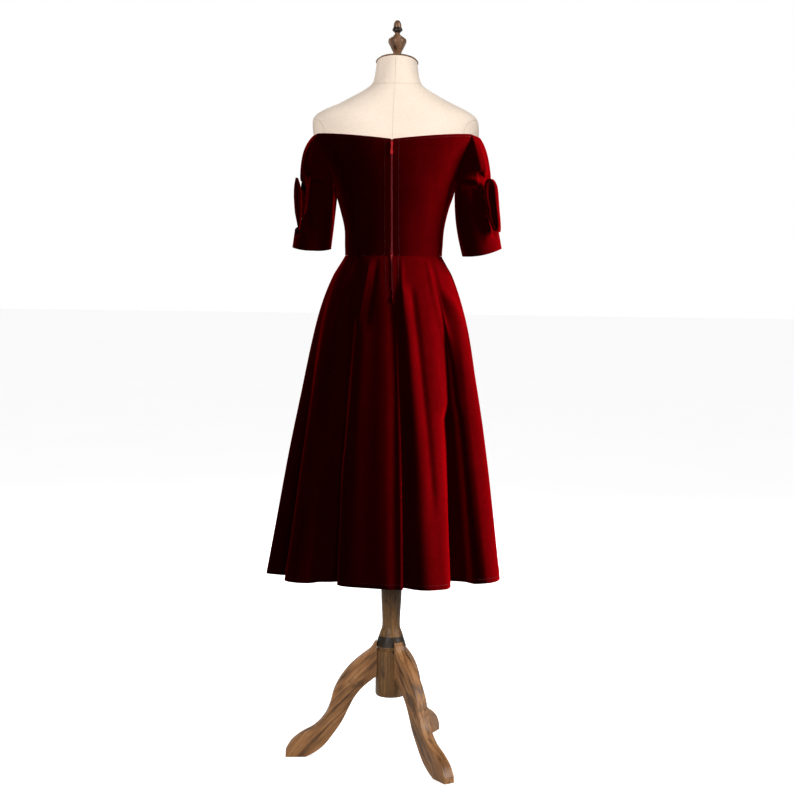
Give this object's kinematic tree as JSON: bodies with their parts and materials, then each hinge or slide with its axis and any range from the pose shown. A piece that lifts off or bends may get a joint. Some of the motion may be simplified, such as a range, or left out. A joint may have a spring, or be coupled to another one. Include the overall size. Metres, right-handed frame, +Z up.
{
  "type": "off-the-shoulder velvet dress on a limbless dress form",
  "caption": "Fitted off-the-shoulder dress with elbow sleeves, sleeve bows, a back zip and a flared tea-length skirt, resting on a limbless dress form with a turned wooden stand.",
  "frame": {"origin": "on the floor under the feet, in the middle of the part's outline seen from above", "axes": "+Z up; +Y towards the dress's back, where the zip is; +X towards the wearer's left"},
  "size_m": [0.5575, 0.4472, 1.7688],
  "materials": {
    "velvet": "deep wine pile",
    "cream_cloth": "plain weave",
    "zip_tape": "woven tape and coil",
    "zip_metal": "red lacquer",
    "wood": "worn brown stain",
    "dark_wood": "dark stain"
  },
  "bodies": {
    "dress_and_form": {"form_torso": "cream_cloth", "bodice_front": "velvet", "bodice_back_left": "velvet", "bodice_back_right": "velvet", "skirt_front": "velvet", "skirt_back_left": "velvet", "skirt_back_right": "velvet", "sleeve_left": "velvet", "sleeve_right": "velvet", "bow_left": "velvet", "bow_right": "velvet", "bow_knot_left": "velvet", "bow_knot_right": "velvet", "zip_tape": "zip_tape", "zip_slider": "zip_metal", "column": "wood", "hub": "wood", "leg_1": "wood", "leg_2": "wood", "leg_3": "wood", "neck_cap": "dark_wood", "finial": "dark_wood"},
    "pull_tab": {"zip_pull": "zip_metal"}
  },
  "joints": [
    {"name": "pull_tab_hinge", "type": "hinge", "parent": "dress_and_form", "child": "pull_tab", "pos_m": [-0.0216, 0.13181, 1.474], "axis": [1, 0, 0], "range_deg": [0, 150]}
  ]
}
